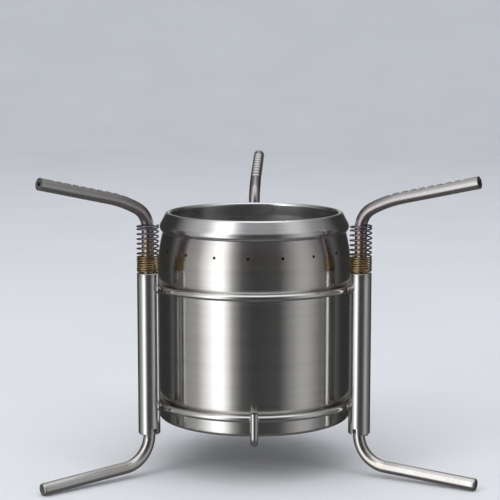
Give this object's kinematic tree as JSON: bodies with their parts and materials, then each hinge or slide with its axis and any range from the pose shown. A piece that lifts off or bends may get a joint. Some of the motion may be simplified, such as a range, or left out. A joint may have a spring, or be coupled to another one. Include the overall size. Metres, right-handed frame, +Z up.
{
  "type": "alcohol spirit stove",
  "caption": "Double-wall spirit burner cup with a ring of jets, held loose in a wire stand on three sprung swivelling legs that form feet and toothed pot arms.",
  "frame": {"origin": "on the surface the stove stands on, under the burner's axis", "axes": "+Z up along the burner's axis; +Y towards the back leg; the front hook faces -Y"},
  "size_m": [0.1538, 0.1413, 0.1111],
  "materials": {
    "burner_steel": "fine circumferential brush",
    "collar_steel": "bright spun",
    "cup_steel": "satin",
    "wick_felt": "loose mineral felt",
    "ring_steel": "polished wire",
    "sleeve_steel": "polished tube",
    "weld_steel": "fused bead",
    "leg_steel": "satin, heat tinted near the bend",
    "pin_steel": "turned",
    "spring_steel": "heat-tinted bronze"
  },
  "bodies": {
    "stand": {"upper_ring": "ring_steel", "lower_ring": "ring_steel", "sleeve_left": "sleeve_steel", "sleeve_right": "sleeve_steel", "sleeve_back": "sleeve_steel", "cup_hook_front": "ring_steel", "cup_hook_right": "ring_steel", "cup_hook_left": "ring_steel", "ring_welds": "weld_steel", "hook_welds": "weld_steel"},
    "burner": {"outer_shell": "burner_steel", "rim_collar": "collar_steel", "inner_wall": "cup_steel", "wick_packing": "wick_felt"},
    "left_coil": {"spring_left": "spring_steel"},
    "right_coil": {"spring_right": "spring_steel"},
    "back_coil": {"spring_back": "spring_steel"},
    "left_leg": {"leg_left": "leg_steel", "foot_plug_left": "leg_steel", "stop_pin_left": "pin_steel"},
    "right_leg": {"leg_right": "leg_steel", "foot_plug_right": "leg_steel", "stop_pin_right": "pin_steel"},
    "back_leg": {"leg_back": "leg_steel", "foot_plug_back": "leg_steel", "stop_pin_back": "pin_steel"}
  },
  "joints": [
    {"name": "burner_lift", "type": "slide", "parent": "stand", "child": "burner", "axis": [0, 0, 1], "range_m": [0, 0.1]},
    {"name": "left_swivel", "type": "hinge", "parent": "stand", "child": "left_coil", "pos_m": [-0.03823, -0.02208, 0.045], "axis": [0, 0, 1], "range_deg": [-148.4, 0]},
    {"name": "right_swivel", "type": "hinge", "parent": "stand", "child": "right_coil", "pos_m": [0.03823, -0.02208, 0.045], "axis": [0, 0, 1], "range_deg": [-141.3, 0]},
    {"name": "back_swivel", "type": "hinge", "parent": "stand", "child": "back_coil", "pos_m": [0, 0.04415, 0.045], "axis": [0, 0, 1], "range_deg": [-137.4, 0]},
    {"name": "left_press", "type": "slide", "parent": "left_coil", "child": "left_leg", "axis": [0, 0, 1], "range_m": [-0.0035, 0], "stiffness_N_per_m": 2000, "springref_m": 0.006, "deforming": ["spring_left"]},
    {"name": "right_press", "type": "slide", "parent": "right_coil", "child": "right_leg", "axis": [0, 0, 1], "range_m": [-0.0035, 0], "stiffness_N_per_m": 2000, "springref_m": 0.006, "deforming": ["spring_right"]},
    {"name": "back_press", "type": "slide", "parent": "back_coil", "child": "back_leg", "axis": [0, 0, 1], "range_m": [-0.0035, 0], "stiffness_N_per_m": 2000, "springref_m": 0.006, "deforming": ["spring_back"]}
  ]
}
